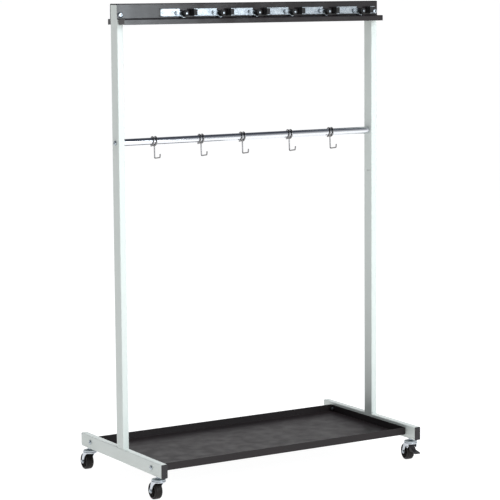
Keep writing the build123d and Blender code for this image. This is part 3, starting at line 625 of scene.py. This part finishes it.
def make_hook_tips():
    """Rounded ends on the wires of the hooks."""
    lean = Vector((0, -TIP_LEAN, TIP_RISE)).normalized()
    for index in HOOKS:
        node = f"hook_{index}"
        made = bmesh.new()
        dome(made, Matrix.Translation(wire_end(node, lean)) @ along(lean), WIRE_R * TIP_FIT)
        finish_piece(f"hook_tip_{index}", made, "chrome", node)


def thread(target, start, direction, length, radius, pitch):
    """Thread crests round the bare tail of a bolt, as a helix with a V section."""
    count = int(THREAD_STEPS * length / pitch)
    place = Matrix.Translation(start) @ along(direction)
    rows = []
    for k in range(count + 1):
        turn = 2 * pi * k / THREAD_STEPS
        rise = length * k / count
        row = []
        for reach, shift in THREAD_SECTION:
            r = radius + reach * pitch
            point = Vector((r * cos(turn), r * sin(turn), rise + shift * pitch))
            row.append(target.verts.new(place @ point))
        rows.append(row)
    capped_skin(target, rows)


def make_threads():
    """Threads on the tails of the rail bolts, behind their nuts."""
    made = bmesh.new()
    nut_low, nut_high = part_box("rail_nuts")
    _, bolt_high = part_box("rail_bolts")
    length = bolt_high.y - nut_high.y - THREAD_SHORT
    for side in (-1, 1):
        x = side * (nut_high.x - NUT_CORNER_R)
        start = Vector((x, nut_high.y + THREAD_START, (nut_low.z + nut_high.z) / 2))
        thread(made, start, Vector((0, 1, 0)), length, BOLT_R, BOLT_PITCH)
    finish_piece("bolt_threads", made, "bright_zinc", "frame")


# --- stage, light and camera -------------------------------------------------
FLOOR_R = 400.0
FLOOR_TONES = ((0.27, 0.27, 0.27), (0.29, 0.29, 0.29))
FLOOR_GLOW = 0.95
BRIGHT_SIDE = (0.8, 0.6, 0.0)
# how far round to the bright side, from 0 to 1, and the colour of the air there
AIR = ((0.10, (0.29, 0.30, 0.30)), (0.45, (0.44, 0.45, 0.46)), (0.74, (1.0, 1.0, 1.0)))
OVERHEAD = (0.075, 0.085, 0.11)
OVERHEAD_BAND = (0.20, 0.70)     # height of the direction where it starts and is full
AIR_STRENGTH = 1.05
# name, place, point aimed at, size, watts, colour, whether it shows in reflections
LIGHTS = (
    ("key", (1.15, -5.0, 2.2), (0.0, 0.0, 1.2), (2.4, 3.6), 175.0, (0.88, 0.95, 1.0), True),
    ("fill", (0.2, -5.0, 2.6), (0.0, 0.0, 0.8), (3.0, 3.0), 25.0, (1.0, 0.98, 0.95), False),
    ("top", (0.0, -0.6, 5.0), (0.0, 0.0, 0.0), (3.5, 3.5), 180.0, (1.0, 1.0, 1.0), False),
)


def make_floor():
    """A wide pale floor that glows a little, so that shadows on it stay faint."""
    made = bmesh.new()
    bmesh.ops.create_circle(made, cap_ends=True, segments=96, radius=FLOOR_R)
    mesh = bpy.data.meshes.new("floor")
    made.to_mesh(mesh)
    made.free()
    material, tree, shader, coords = new_material("floor_white")
    tone = mixed(tree, noise(tree, coords, 2.0, 2.0), *FLOOR_TONES)
    tree.links.new(tone, shader.inputs["Base Color"])
    shader.inputs["Roughness"].default_value = 0.9
    shader.inputs["Specular IOR Level"].default_value = 0.0
    shader.inputs["Emission Color"].default_value = (1.0, 1.0, 1.0, 1.0)
    shader.inputs["Emission Strength"].default_value = FLOOR_GLOW
    mesh.materials.append(material)
    floor = bpy.data.objects.new("floor", mesh)
    bpy.context.scene.collection.objects.link(floor)


def make_world():
    """Studio air: bright behind and to the right, dimmer at the left, dark overhead."""
    world = bpy.data.worlds.new("studio")
    bpy.context.scene.world = world
    world.use_nodes = True
    tree = world.node_tree
    tree.nodes.clear()
    direction = tree.nodes.new("ShaderNodeTexCoord").outputs["Generated"]
    parts = tree.nodes.new("ShaderNodeSeparateXYZ")
    tree.links.new(direction, parts.inputs[0])
    toward = add_node(tree, "ShaderNodeVectorMath", [("operation", "DOT_PRODUCT")])
    toward.inputs[1].default_value = BRIGHT_SIDE
    tree.links.new(direction, toward.inputs[0])
    side = tree.nodes.new("ShaderNodeValToRGB")
    tree.links.new(remap(tree, toward.outputs["Value"], (-1.0, 1.0), UNIT), side.inputs[0])
    stops = side.color_ramp.elements
    stops.new(AIR[1][0])
    for stop, (position, colour) in zip(stops, AIR):
        stop.position = position
        stop.color = (*colour, 1.0)
    upward = remap(tree, parts.outputs["Z"], OVERHEAD_BAND, UNIT)
    sky = mixed(tree, upward, side.outputs[0], OVERHEAD)
    background = add_node(tree, "ShaderNodeBackground", Strength=AIR_STRENGTH)
    tree.links.new(sky, background.inputs["Color"])
    output = tree.nodes.new("ShaderNodeOutputWorld")
    tree.links.new(background.outputs[0], output.inputs["Surface"])


def soft_box(name, place, target, size, power, colour, glossy):
    """A rectangular area light aimed at a point, never seen by the camera itself."""
    light = bpy.data.lights.new(name, "AREA")
    light.shape = "RECTANGLE"
    light.size, light.size_y = size
    light.energy = power
    light.color = colour
    lamp = bpy.data.objects.new(name, light)
    lamp.location = place
    aim = Vector(target) - Vector(place)
    lamp.rotation_euler = aim.to_track_quat("-Z", "Y").to_euler()
    lamp.visible_camera = False
    lamp.visible_glossy = glossy
    bpy.context.scene.collection.objects.link(lamp)


def make_lights():
    """The soft boxes of the studio."""
    for settings in LIGHTS:
        soft_box(*settings)


CAMERA_AT = (-3.0865, -5.0474, 1.4416)
CAMERA_YAW = 31.451      # degrees to the right of straight ahead
CAMERA_DOWN = 6.378
CAMERA_ROLL = -0.416
CAMERA_LENS = 143.02
CAMERA_SHIFT = -0.08
SENSOR = 36.0


def make_camera():
    """The camera of the studio view, slightly above the rail, from the front left."""
    yaw, down, roll = radians(CAMERA_YAW), radians(CAMERA_DOWN), radians(CAMERA_ROLL)
    ahead = Vector((sin(yaw) * cos(down), cos(yaw) * cos(down), -sin(down)))
    level = Vector((cos(yaw), -sin(yaw), 0))
    upward = level.cross(ahead)
    right = level * cos(roll) + upward * sin(roll)
    up = upward * cos(roll) - level * sin(roll)
    data = bpy.data.cameras.new("camera")
    data.sensor_width = SENSOR
    data.lens = CAMERA_LENS
    data.shift_y = CAMERA_SHIFT
    camera = bpy.data.objects.new("camera", data)
    turn = Matrix((right, up, -ahead)).transposed().to_4x4()
    camera.matrix_world = Matrix.Translation(CAMERA_AT) @ turn
    bpy.context.scene.collection.objects.link(camera)
    bpy.context.scene.camera = camera


dress_cad()
make_wheels()
make_rollers()
make_end_caps()
make_post_welds()
make_tray_welds()
make_hook_tips()
make_threads()
make_floor()
make_world()
make_lights()
make_camera()
bpy.context.scene.view_settings.view_transform = "Standard"
